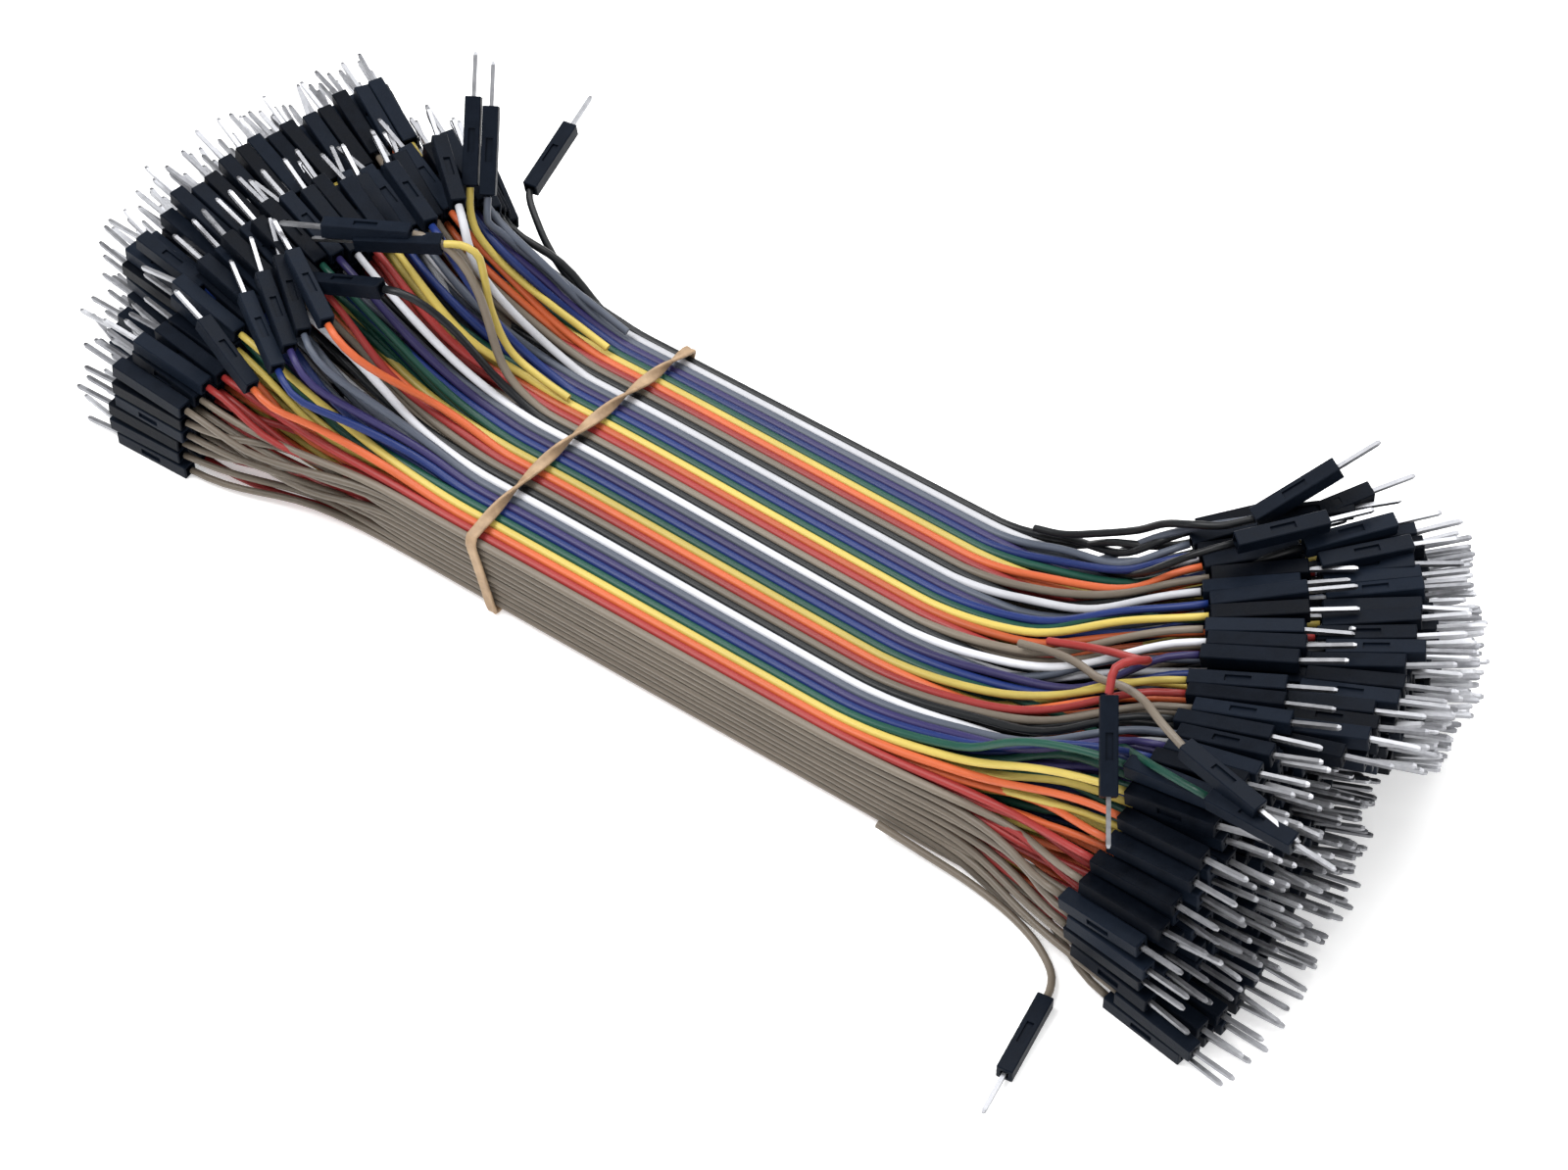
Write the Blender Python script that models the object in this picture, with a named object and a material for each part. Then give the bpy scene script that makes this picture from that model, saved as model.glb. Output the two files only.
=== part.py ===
"""A rubber banded bundle of forty way flat cables, with a housing and a pin on both ends of every wire.

The cables lie on one another with their wires along X. Each cable is split into single wires
near its ends, and the wires spread into a fan of housings on the left, at -X, and on the right.
Plan places are worked out from the middle of the band, and the whole bundle is then moved so
that the middle of its underside is the origin.
"""
import math

import bmesh
import bpy
import numpy as np
from mathutils import Euler, Matrix, Vector

# Flat cables, in metres
RIBBONS = 10
WIRES = 40
WIRE_PITCH = 0.00127
WIRE_DIAMETER = 0.00122
RIBBON_THICKNESS = 0.00112
LAYER_GAP = 0.00018
RIDGE_DEPTH = 0.00028
CROWN = 0.0028
CROWN_REACH = 0.045
SPREAD_PULL = 0.30
EDGE_WIDTH = 0.35
EDGE_FLAT = 0.4

# Connectors
HOUSING_LENGTH = 0.0140
HOUSING_SIDE = 0.00254
PIN_SIDE = 0.00064
PIN_LENGTH = 0.0070
PIN_SEAT = 0.0050
CLEARANCE = 0.0003
LATCH_LENGTH = 0.0038
LATCH_WIDTH = 0.0011
LATCH_DEPTH = 0.0004
LATCH_FROM_REAR = 0.0052
CUT_OVERSHOOT = 0.001

# Heap of connectors at each end
ROWS = 12
ROW_GAP = 0.00012
TOP_ROW_TILT = math.radians(11.0)
OUTER_SLOPE = 0.010
OPEN_ROWS = 2
OPEN_CABLES = 2
BLUNT_ROWS = 5
FULL_ROWS = 7
TOP_PACKING = 0.2
STAGGER = 0.0011
REAR_STEPS = 8
ARC_STEPS = 40
PULL_REACH = 0.40
PIN_STEP = 2
WEB_GAP = 0.0004

# Rubber band
BAND_WIDTH = 0.0019
BAND_THICKNESS = 0.0007
BAND_GAP = 0.0003
BAND_SLANT = 0.0016
BAND_CORNER = 0.0002
BAND_STEPS = 14

# Steps along a cable, counted from a rise to its end
FLAT_STEPS = 3
STRAIGHT_STEPS = 2
SPREAD_STEPS = 3
SECTION_SHARES = (0.0, 0.10, 0.22, 0.40, 0.68, 1.0)
LOOSE_POINT_SPACING = 0.0030
LOOSE_CURVE_STEPS = 12

RIBBON_WIDTH = WIRES * WIRE_PITCH
LAYER_PITCH = RIBBON_THICKNESS + LAYER_GAP
ROW_PITCH = HOUSING_SIDE + ROW_GAP
FIRST_LAYER = BAND_THICKNESS + BAND_GAP + RIBBON_THICKNESS / 2
STACK_TOP = FIRST_LAYER + (RIBBONS - 1) * LAYER_PITCH + RIBBON_THICKNESS / 2

RIBBON_COLOUR = (0.33, 0.30, 0.27)
HOUSING_COLOUR = (0.020, 0.028, 0.036)
PIN_COLOUR = (0.72, 0.72, 0.70)
BAND_COLOUR = (0.62, 0.42, 0.24)


class Fan:
    """One end of the bundle: a round fan of connectors in level rows, low at the near edge."""

    def __init__(self, name, side, centre, radius, first, low_last, top_last, rise, near_split, far_split,
                 hinge, low_offset, top_offset, near_cut, far_cut, near_pull, outer_rows, outer_low,
                 outer_top, outer_last, outer_offset, outer_lean, outer_bulge, outer_spread, seed):
        self.name = name
        self.side = side
        self.centre = centre
        self.radius = radius
        self.first = math.radians(first)
        self.low_last = math.radians(low_last)
        self.top_last = math.radians(top_last)
        self.rise = rise
        self.near_split = near_split
        self.far_split = far_split
        self.hinge = hinge
        self.low_offset = low_offset
        self.top_offset = top_offset
        self.near_cut = near_cut
        self.far_cut = far_cut
        self.near_pull = near_pull
        self.outer_rows = outer_rows
        self.outer_low = outer_low
        self.outer_top = outer_top
        self.outer_last = outer_last
        self.outer_offset = outer_offset
        self.outer_lean = outer_lean
        self.outer_bulge = outer_bulge
        self.outer_spread = outer_spread
        self.seed = seed

    def angle(self, row, share):
        """Direction of a connector, from the near edge of the fan at 0 to the far edge at 1."""
        last = self.low_last + (self.top_last - self.low_last) * row / (ROWS - 1)
        return self.first + (last - self.first) * share

    def heading(self, angle):
        return Vector((self.side * math.cos(angle), math.sin(angle), 0.0))

    def pull(self, row, angle):
        """How far the near part of a row is drawn in; the lowest rows reach out."""
        if row < OPEN_ROWS:
            return 0.0
        share = (angle - self.first) / (self.low_last - self.first)
        return self.near_pull * max(0.0, 1.0 - share / PULL_REACH) ** 1.5

    def place(self, row, radius, angle):
        """Point of the plan at a radius and an angle of a row."""
        middle = Vector((self.centre[0], self.centre[1], 0.0))
        return middle + (radius - self.pull(row, angle)) * self.heading(angle)

    def tilt(self, row):
        return TOP_ROW_TILT * row / (ROWS - 1)

    def rear(self, row):
        """Radius of the rear faces of a row's inner rank, stepping in faster towards the top."""
        return self.radius + self.low_offset + (self.top_offset - self.low_offset) * (row / (ROWS - 1)) ** 2

    def shares(self, row):
        """Reach of a row across the fan: blunt at the near edge below, stepped at the far edge above."""
        near = self.near_cut * max(0, row - BLUNT_ROWS) / (ROWS - 1 - BLUNT_ROWS)
        far = self.far_cut * max(0, row - FULL_ROWS) / (ROWS - 1 - FULL_ROWS)
        return near, 1.0 - far

    def level(self, layer, share):
        """Height, counted in rows, that a cable's wires reach at one place across its width."""
        near_rows = BLUNT_ROWS + (ROWS - 1 - BLUNT_ROWS) * min(1.0, share / self.near_cut)
        return near_rows * layer / (RIBBONS - 1)

    def on_row(self, row, point):
        """Where a point of the plan comes to lie in the middle plane of a tilted row."""
        tilt = self.tilt(row)
        out = self.side * (point.x - self.hinge)
        x = self.hinge + self.side * out * math.cos(tilt)
        z = row * ROW_PITCH + HOUSING_SIDE / 2 + out * math.sin(tilt)
        return Vector((x, point.y, z))

    def runs(self):
        """Each rank of each row, as row, rank, first angle, last angle and radius of its rear faces."""
        found = []
        for row in range(ROWS):
            near, far = self.shares(row)
            radius = self.rear(row)
            found.append((row, 0, self.angle(row, near), self.angle(row, far), radius))
            if row < self.outer_rows:
                first = self.outer_low + (self.outer_top - self.outer_low) * row / (ROWS - 1)
                start = self.angle(row, max(near, first))
                stop = self.angle(row, self.outer_last - OUTER_SLOPE * row)
                found.append((row, 1, start, stop, radius + self.outer_offset))
        return found

    def arc(self, row, start, stop, radius):
        """Angles along an arc and the length walked to each."""
        angles = np.linspace(start, stop, ARC_STEPS + 1)
        radii = np.array([radius - self.pull(row, angle) for angle in angles])
        pieces = (radii[1:] + radii[:-1]) / 2 * np.diff(angles)
        return angles, np.concatenate([[0.0], np.cumsum(pieces)])

    def slots(self):
        """Row, rank, angle and rear radius of each connector, shared out so that each wire has one."""
        runs = self.runs()
        arcs = [self.arc(row, start, stop, radius) for row, rank, start, stop, radius in runs]
        packing = [1.0 + TOP_PACKING * run[0] / (ROWS - 1) for run in runs]
        room = [walked[-1] * packed for packed, (angles, walked) in zip(packing, arcs)]
        total = sum(room)
        wanted = RIBBONS * WIRES
        found = []
        passed = 0.0
        for (row, rank, start, stop, radius), (angles, walked), share in zip(runs, arcs, room):
            count = round((passed + share) * wanted / total) - round(passed * wanted / total)
            passed += share
            for column in range(count):
                done = (column + 0.5) / count
                angle = float(np.interp(walked[-1] * done, walked, angles))
                lean = self.outer_lean * (1.0 - done) - self.outer_bulge * math.sin(math.pi * done) ** 4
                spread = self.outer_spread * (self.outer_rows - 1 - row) * done
                found.append((row, rank, angle, radius + rank * (spread - lean)))
        return found


RIGHT_FAN = Fan("right", 1, (0.048, -0.021), 0.070, -10.5, 47.0, 48.5, 0.060, 0.094, 0.083,
                0.090, 0.001, -0.005, 0.20, 0.02, 0.009, 11, 0.72, 0.36, 1.0, 0.0175, 0.0085, 0.0025, 0.0, 11)
LEFT_FAN = Fan("left", -1, (0.059, -0.031), 0.1135, -1.0, 33.0, 32.5, -0.006, -0.036, -0.026,
               -0.036, 0.001, -0.0065, 0.36, 0.08, 0.0, 10, 0.14, 0.25, 0.94, 0.0185, 0.0070, 0.0, 0.0010, 23)


def make_material(name, colour, roughness, metallic=0.0):
    material = bpy.data.materials.new(name)
    material.use_nodes = True
    shader = material.node_tree.nodes["Principled BSDF"]
    shader.inputs["Base Color"].default_value = (*colour, 1.0)
    shader.inputs["Roughness"].default_value = roughness
    shader.inputs["Metallic"].default_value = metallic
    return material


def add_object(name, data, collection, material):
    obj = bpy.data.objects.new(name, data)
    collection.objects.link(obj)
    data.materials.clear()
    data.materials.append(material)
    return obj


def curve_to_mesh(name, curve, collection, material, weld=1e-6):
    """A closed mesh with welded caps, made from a curve."""
    guide = bpy.data.objects.new(name + "_guide", curve)
    collection.objects.link(guide)
    bpy.context.view_layer.update()
    evaluated = guide.evaluated_get(bpy.context.evaluated_depsgraph_get())
    mesh = bpy.data.meshes.new_from_object(evaluated)
    mesh.name = name
    bpy.data.objects.remove(guide)
    shape = bmesh.new()
    shape.from_mesh(mesh)
    bmesh.ops.remove_doubles(shape, verts=shape.verts, dist=weld)
    shape.to_mesh(mesh)
    shape.free()
    return add_object(name, mesh, collection, material)


def smooth_bevels(obj, degrees=40.0):
    obj.data.shade_smooth()
    obj.data.set_sharp_from_angle(angle=math.radians(degrees))


# Cables

def crown(share):
    """How much the bound stack bulges upwards across its width."""
    return CROWN * (1.0 - (2.0 * share - 1.0) ** 2)


def flat_height(layer, share, x):
    """Height of the middle of a cable where the cables lie on one another."""
    return FIRST_LAYER + layer * LAYER_PITCH + crown(share) / (1.0 + (x / CROWN_REACH) ** 2)


def across(share):
    return (share - 0.5) * RIBBON_WIDTH


def spread_points(fan, layer, share):
    """Middle of a cable from its rise to the rear faces of its row, at one place across its width."""
    row = fan.level(layer, share)
    near, far = fan.shares(row)
    angle = fan.angle(row, far * share)
    split = fan.near_split + (fan.far_split - fan.near_split) * share
    start = Vector((fan.rise, across(share), 0.0))
    corner = Vector((split, across(share), 0.0))
    drawn_row = row if layer < OPEN_CABLES else max(row, OPEN_ROWS)
    stop = fan.place(drawn_row, fan.rear(row) - WEB_GAP, angle)
    pull = SPREAD_PULL * (stop - corner).length
    first_pull = corner + Vector((fan.side * pull, 0.0, 0.0))
    last_pull = stop - fan.heading(angle) * pull
    points = [start.lerp(corner, step / STRAIGHT_STEPS) for step in range(STRAIGHT_STEPS)]
    for step in range(SPREAD_STEPS + 1):
        u = step / SPREAD_STEPS
        v = 1.0 - u
        points.append(v ** 3 * corner + 3 * v * v * u * first_pull + 3 * v * u * u * last_pull + u ** 3 * stop)
    seated = fan.on_row(row, stop)
    low = flat_height(layer, share, fan.rise)
    walked = [0.0]
    for one, two in zip(points, points[1:]):
        walked.append(walked[-1] + (two - one).length)
    for point, length in zip(points, walked):
        done = length / walked[-1]
        point.z = low + (seated.z - low) * done * done * (2.0 - done)
        point.x += (seated.x - stop.x) * done
    return points


def cable_line(layer, share):
    """Middle of a cable from its left end to its right end, at one place across its width."""
    line = spread_points(LEFT_FAN, layer, share)[::-1]
    for step in range(1, FLAT_STEPS):
        x = LEFT_FAN.rise + (RIGHT_FAN.rise - LEFT_FAN.rise) * step / FLAT_STEPS
        line.append(Vector((x, across(share), flat_height(layer, share, x))))
    return line + spread_points(RIGHT_FAN, layer, share)


def cable_section(ridged):
    """Outline of a cable as share of its width and height above its middle, round at both edges."""
    half = RIBBON_THICKNESS / 2
    edge = EDGE_WIDTH / WIRES
    shares = [edge + (1.0 - 2.0 * edge) * share for share in SECTION_SHARES]
    under = [(share, -half) for share in shares]
    far_edge = [(1.0, -half * EDGE_FLAT), (1.0, half * EDGE_FLAT)]
    near_edge = [(0.0, half * EDGE_FLAT), (0.0, -half * EDGE_FLAT)]
    if not ridged:
        return under + far_edge + [(share, half) for share in reversed(shares)] + near_edge
    top = []
    for wire in reversed(range(WIRES)):
        top.append(((wire + 0.5) / WIRES, half))
        if wire:
            top.append((wire / WIRES, half - RIDGE_DEPTH))
    return under + far_edge + top + near_edge


def blended_line(lines, share):
    """A line along the cable between its two nearest section lines, so that top and underside stay parallel."""
    index = max(k for k, mark in enumerate(SECTION_SHARES[:-1]) if mark <= share)
    first, second = SECTION_SHARES[index:index + 2]
    part_way = (share - first) / (second - first)
    return [one.lerp(two, part_way) for one, two in zip(lines[index], lines[index + 1])]


def build_ribbon(layer, collection, material):
    """A flat cable, swept along its route, with its split and spread wires as one web at each end.

    Both sides of a cable are folded along the same diagonals, so that stacked cables stay apart.
    """
    section = cable_section(ridged=layer == RIBBONS - 1)
    marks = [cable_line(layer, share) for share in SECTION_SHARES]
    lines = [blended_line(marks, share) for share, height in section]
    shape = bmesh.new()
    rings = []
    for station in range(len(lines[0])):
        ring = []
        for line, (share, height) in zip(lines, section):
            ring.append(shape.verts.new(line[station] + Vector((0.0, 0.0, height))))
        rings.append(ring)
    for first, second in zip(rings, rings[1:]):
        for index in range(len(section)):
            after = (index + 1) % len(section)
            if section[after][0] > section[index][0]:
                corners = (first[index], first[after], second[after], second[index])
            else:
                corners = (first[after], second[after], second[index], first[index])
            shape.faces.new(corners[:3])
            shape.faces.new((corners[0], corners[2], corners[3]))
    shape.faces.new(reversed(rings[0]))
    shape.faces.new(rings[-1])
    mesh = bpy.data.meshes.new("ribbon")
    shape.to_mesh(mesh)
    shape.free()
    ribbon = add_object(f"ribbon_{layer + 1:02d}", mesh, collection, material)
    smooth_bevels(ribbon, 60.0)
    return ribbon


# Rows of connectors

def row_front(fan, row, slots, draws):
    """The connectors whose front faces show along a row, in order from near to far."""
    inner = [(angle, radius) for at, rank, angle, radius in slots if at == row and rank == 0]
    outer = [(angle, radius) for at, rank, angle, radius in slots if at == row and rank == 1]
    if outer:
        margin = HOUSING_SIDE / fan.radius
        first = outer[0][0] - margin
        last = outer[-1][0] + margin
        before = [slot for slot in inner if slot[0] < first]
        after = [slot for slot in inner if slot[0] > last]
        shown = before + outer + after
    else:
        shown = inner
    return [(angle, radius + HOUSING_LENGTH + STAGGER * draws.uniform(-1.0, 1.0)) for angle, radius in shown]


def row_outline(fan, row, front):
    """Plan outline of a row: stepped front corners, then back along the round rear."""
    outline = []
    middles = []
    for angle, radius in front:
        middle = fan.place(row, radius, angle)
        aside = Vector((-fan.heading(angle).y, fan.heading(angle).x, 0.0)) * fan.side * HOUSING_SIDE / 2
        outline.append(middle - aside)
        outline.append(middle + aside)
        middles.append(middle)
    near = front[0][0]
    far = front[-1][0]
    for step in range(REAR_STEPS + 1):
        outline.append(fan.place(row, fan.rear(row), far + (near - far) * step / REAR_STEPS))
    return outline, middles


def build_row(fan, row, slots, draws, collection, material):
    """A row of housings side by side as one solid, with square pins out of its front faces."""
    front = row_front(fan, row, slots, draws)
    outline, middles = row_outline(fan, row, front)
    hinge = Vector((fan.hinge, 0.0, 0.0))
    curve = bpy.data.curves.new("row", "CURVE")
    curve.dimensions = "2D"
    curve.fill_mode = "BOTH"
    curve.extrude = HOUSING_SIDE / 2
    spline = curve.splines.new("POLY")
    spline.points.add(len(outline) - 1)
    for point, corner in zip(spline.points, outline):
        point.co = (*(corner - hinge).xy, 0.0, 1.0)
    spline.use_cyclic_u = True
    name = f"{fan.name}_connectors_{row + 1:02d}"
    obj = curve_to_mesh(name, curve, collection, material)
    shape = bmesh.new()
    shape.from_mesh(obj.data)
    sides = [face for face in shape.faces if abs(face.normal.z) < 0.5]
    chosen = {}
    for (angle, radius), middle in list(zip(front, middles))[row % PIN_STEP::PIN_STEP]:
        centre = middle - hinge
        face = min(sides, key=lambda side: (side.calc_center_median() - centre).length)
        chosen[face] = fan.heading(angle)
    bmesh.ops.inset_individual(shape, faces=list(chosen), thickness=(HOUSING_SIDE - PIN_SIDE) / 2)
    for face, heading in chosen.items():
        raised = bmesh.ops.extrude_discrete_faces(shape, faces=[face])["faces"]
        for vert in raised[0].verts:
            vert.co += heading * PIN_LENGTH
    shape.to_mesh(obj.data)
    shape.free()
    obj.location = (fan.hinge, 0.0, row * ROW_PITCH + HOUSING_SIDE / 2)
    obj.rotation_euler = Euler((0.0, -fan.side * fan.tilt(row), 0.0))
    return obj


# Rubber band

def band_outline(grow):
    """Outline round the stack in a plane across its wires, as pairs of Y and Z."""
    half_width = RIBBON_WIDTH / 2 + BAND_GAP + grow
    low = BAND_THICKNESS - grow
    high = STACK_TOP + BAND_GAP + grow
    corner = BAND_CORNER + grow / 2
    points = []
    for step in range(BAND_STEPS + 1):
        share = step / BAND_STEPS
        points.append(((2.0 * share - 1.0) * (half_width - corner), high + crown(share)))
    points += [(half_width, high - corner), (half_width, low + corner), (half_width - corner, low)]
    points += [(corner - half_width, low), (-half_width, low + corner), (-half_width, high - corner)]
    return points


def build_band(collection, material):
    """The band, a ring round the stack that slants one way across the top and the other way below."""
    curve = bpy.data.curves.new("rubber_band", "CURVE")
    curve.dimensions = "2D"
    curve.fill_mode = "BOTH"
    curve.extrude = BAND_WIDTH / 2
    for grow in (BAND_THICKNESS, 0.0):
        outline = band_outline(grow)
        spline = curve.splines.new("POLY")
        spline.points.add(len(outline) - 1)
        for point, (across_stack, height) in zip(spline.points, outline):
            point.co = (across_stack, height, 0.0, 1.0)
        spline.use_cyclic_u = True
    band = curve_to_mesh("rubber_band", curve, collection, material)
    middle = STACK_TOP / 2
    for vert in band.data.vertices:
        aside, height, along = vert.co
        slant = BAND_SLANT * aside / RIBBON_WIDTH * (height - middle) / middle
        vert.co = (along + 2.0 * slant, aside, height)
    return band


# Loose wires

class Loose:
    """A wire torn free of its cable: its route, and where its housing lies."""

    def __init__(self, name, route, rear, front, roll):
        self.name = name
        self.route = [Vector(point) / 1000.0 for point in route]
        self.rear = Vector(rear) / 1000.0
        self.heading = (Vector(front) - Vector(rear)).normalized()
        self.roll = math.radians(roll)

    def matrix(self):
        turn = self.heading.to_track_quat("X", "Z").to_matrix().to_4x4()
        return Matrix.Translation(self.rear) @ turn @ Matrix.Rotation(self.roll, 4, "X")


# Routes and housing ends in millimetres, from the middle of the band
LOOSE_WIRES = [
    Loose("right_loose_wire_1", [(84, 1.9, 23.32), (90, 1.9, 26.3), (95, 0.9, 29.6), (99, -1.2, 33.4),
                                 (102.4, -3.6, 37.4), (104.2, -6.2, 41.5), (103.3, -9.3, 43.7),
                                 (102.0, -11.4, 43.3)],
          (103.0, -14.2, 40.9), (109.7, -24.1, 33.6), 0.0),
    Loose("right_loose_wire_2", [(80, 0.6, 21.3), (86, 0.1, 23.95), (91, -1.6, 26.7), (96, -4.6, 30.1),
                                 (100, -7.2, 34.4), (104, -10.0, 38.6), (108, -12.8, 41.6),
                                 (112.0, -15.4, 42.8)],
          (116.8, -17.3, 42.8), (130.5, -20.4, 42.6), 0.0),
    Loose("right_loose_wire_3", [(74, -26.8, 2.6), (82, -26.9, 2.0), (90, -27.1, 1.5), (97, -28.0, 1.2),
                                 (102.2, -29.5, 1.1), (105.8, -31.3, 1.1), (108.5, -33.4, 1.2),
                                 (109.8, -35.6, 1.27)],
          (110.3, -37.7, 1.27), (112.3, -51.6, 1.27), 0.0),
    Loose("right_loose_wire_4", [(68, 23.8, 17.15), (73, 23.8, 19.1), (79, 23.9, 23.2), (85, 24.2, 27.6),
                                 (89.5, 23.8, 32.4), (94.0, 23.4, 35.6), (98.2, 24.8, 36.8)],
          (101.6, 28.2, 37.5), (109.2, 39.1, 44.2), 0.0),
    Loose("left_loose_wire_1", [(-8, 17.1, 16.55), (-14, 17.1, 18.3), (-20, 16.5, 20.95), (-26, 15.4, 25.1),
                                (-31, 14.9, 29.8), (-34.0, 16.6, 32.4)],
          (-35.8, 19.1, 35.0), (-41.1, 27.7, 44.7), 0.0),
    Loose("left_loose_wire_2", [(-8, 22.2, 15.9), (-14, 22.2, 17.85), (-20, 21.4, 20.95), (-26, 19.6, 25.3),
                                (-29.6, 18.0, 29.4), (-31.2, 17.3, 31.2)],
          (-32.9, 19.8, 33.96), (-38.2, 28.4, 43.66), 0.0),
    Loose("left_loose_wire_3", [(-10, 26.9, 9.0), (-18, 27.2, 11.5), (-25, 28.0, 14.5), (-30, 29.8, 17.0),
                                (-34, 32.2, 18.6), (-36.8, 34.3, 19.4)],
          (-38.0, 36.0, 19.9), (-39.9, 49.5, 22.3), 0.0),
    Loose("left_loose_wire_4", [(-6, 4.4, 17.25), (-12, 4.4, 18.65), (-17.5, 4.5, 21.2), (-21, 5.0, 27.2),
                                (-22.4, 5.6, 32.8), (-23.8, 6.1, 36.9), (-26.4, 5.4, 38.2)],
          (-29.1, 4.1, 38.0), (-41.4, -1.9, 36.6), 0.0),
]


def smooth_route(points, spacing):
    """Points at an even spacing on a smooth curve through a route."""
    dense = []
    padded = [2 * points[0] - points[1]] + points + [2 * points[-1] - points[-2]]
    for index in range(1, len(padded) - 2):
        before, first, second, after = padded[index - 1:index + 3]
        for step in range(LOOSE_CURVE_STEPS):
            t = step / LOOSE_CURVE_STEPS
            dense.append(0.5 * (2 * first + (second - before) * t
                                + (2 * before - 5 * first + 4 * second - after) * t ** 2
                                + (3 * first - before - 3 * second + after) * t ** 3))
    dense.append(points[-1].copy())
    lengths = np.concatenate([[0.0], np.cumsum([(b - a).length for a, b in zip(dense, dense[1:])])])
    count = max(2, round(lengths[-1] / spacing))
    places = np.array([tuple(point) for point in dense])
    even = [np.interp(np.linspace(0.0, lengths[-1], count + 1), lengths, places[:, axis]) for axis in range(3)]
    return [Vector(point) for point in zip(*even)]


def box_mesh(low, high):
    """Mesh of a box between two corners."""
    shape = bmesh.new()
    bmesh.ops.create_cube(shape, size=1.0)
    low = Vector(low)
    high = Vector(high)
    for vert in shape.verts:
        vert.co = Vector([low[axis] + (high[axis] - low[axis]) * (vert.co[axis] + 0.5) for axis in range(3)])
    mesh = bpy.data.meshes.new("box")
    shape.to_mesh(mesh)
    shape.free()
    return mesh


def add_cut(target, mesh, guides):
    cutter = bpy.data.objects.new(target.name + "_cutter", mesh)
    guides.objects.link(cutter)
    cutter.matrix_world = target.matrix_world
    cutter.hide_render = True
    cutter.display_type = "WIRE"
    cut = target.modifiers.new("cut", "BOOLEAN")
    cut.operation = "DIFFERENCE"
    cut.solver = "EXACT"
    cut.object = cutter


def build_loose(loose, collection, guides, materials):
    """A loose wire, its housing with a wire seat, a pin seat and a latch window, and its pin."""
    half = HOUSING_SIDE / 2
    housing = add_object(loose.name + "_housing", box_mesh((0.0, -half, -half), (HOUSING_LENGTH, half, half)),
                         collection, materials["housing"])
    housing.matrix_world = loose.matrix()
    bpy.context.view_layer.update()
    seat = PIN_SIDE / 2 + CLEARANCE
    pin_end = HOUSING_LENGTH - PIN_SEAT
    add_cut(housing, box_mesh((pin_end - CLEARANCE, -seat, -seat),
                              (HOUSING_LENGTH + CUT_OVERSHOOT, seat, seat)), guides)
    window = LATCH_WIDTH / 2
    add_cut(housing, box_mesh((LATCH_FROM_REAR, -window, half - LATCH_DEPTH),
                              (LATCH_FROM_REAR + LATCH_LENGTH, window, half + CUT_OVERSHOOT)), guides)
    pin_half = PIN_SIDE / 2
    pin = add_object(loose.name + "_pin", box_mesh((pin_end, -pin_half, -pin_half),
                                                   (HOUSING_LENGTH + PIN_LENGTH, pin_half, pin_half)),
                     collection, materials["pin"])
    pin.matrix_world = loose.matrix()
    curve = bpy.data.curves.new(loose.name, "CURVE")
    curve.dimensions = "3D"
    curve.bevel_depth = WIRE_DIAMETER / 2
    curve.bevel_resolution = 2
    curve.use_fill_caps = True
    points = smooth_route(loose.route + [loose.rear - loose.heading * CLEARANCE], LOOSE_POINT_SPACING)
    spline = curve.splines.new("POLY")
    spline.points.add(len(points) - 1)
    for point, place in zip(spline.points, points):
        point.co = (*place, 1.0)
    wire = add_object(loose.name, curve, collection, materials["ribbon"])
    return [wire, housing, pin]


def build():
    for obj in list(bpy.data.objects):
        bpy.data.objects.remove(obj, do_unlink=True)
    bundle = bpy.data.collections.new("jumper_wire_bundle")
    guides = bpy.data.collections.new("cutters_and_guides")
    bpy.context.scene.collection.children.link(bundle)
    bpy.context.scene.collection.children.link(guides)
    materials = {
        "ribbon": make_material("wire_insulation", RIBBON_COLOUR, 0.45),
        "housing": make_material("housing_plastic", HOUSING_COLOUR, 0.5),
        "pin": make_material("pin_metal", PIN_COLOUR, 0.25, 1.0),
        "band": make_material("band_rubber", BAND_COLOUR, 0.6),
    }
    made = [build_ribbon(layer, bundle, materials["ribbon"]) for layer in range(RIBBONS)]
    for fan in (LEFT_FAN, RIGHT_FAN):
        slots = fan.slots()
        draws = np.random.RandomState(fan.seed)
        for row in range(ROWS):
            made.append(build_row(fan, row, slots, draws, bundle, materials["housing"]))
    made.append(build_band(bundle, materials["band"]))
    stand_on_origin(made, bundle)
    for loose in LOOSE_WIRES:
        build_loose(loose, bundle, guides, materials)
    hang_on_base(bundle, guides)


def stand_on_origin(made, bundle):
    """Add the empty that puts the middle of the underside of the cables, heaps and band at the origin."""
    bpy.context.view_layer.update()
    corners = []
    graph = bpy.context.evaluated_depsgraph_get()
    for obj in made:
        shape = obj.evaluated_get(graph)
        corners += [obj.matrix_world @ vert.co for vert in shape.to_mesh().vertices]
        shape.to_mesh_clear()
    low = Vector([min(corner[axis] for corner in corners) for axis in range(3)])
    high = Vector([max(corner[axis] for corner in corners) for axis in range(3)])
    base = bpy.data.objects.new("bundle_base", None)
    bundle.objects.link(base)
    base.location = (-(low.x + high.x) / 2, -(low.y + high.y) / 2, -low.z)


def hang_on_base(bundle, guides):
    base = bundle.objects["bundle_base"]
    for obj in list(bundle.objects) + list(guides.objects):
        if obj is not base:
            obj.parent = base
    bpy.context.view_layer.update()


build()
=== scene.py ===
"""The banded bundle of jumper wires: single wires, housings, pins, band and the studio round them.

Lengths are in metres. Plan places are counted from the middle of the rubber band, as in the part's
source, and SHIFT moves them into the row frame.
"""

import math
from dataclasses import dataclass

import bmesh
import bpy
import numpy as np
from mathutils import Matrix, Vector


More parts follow.
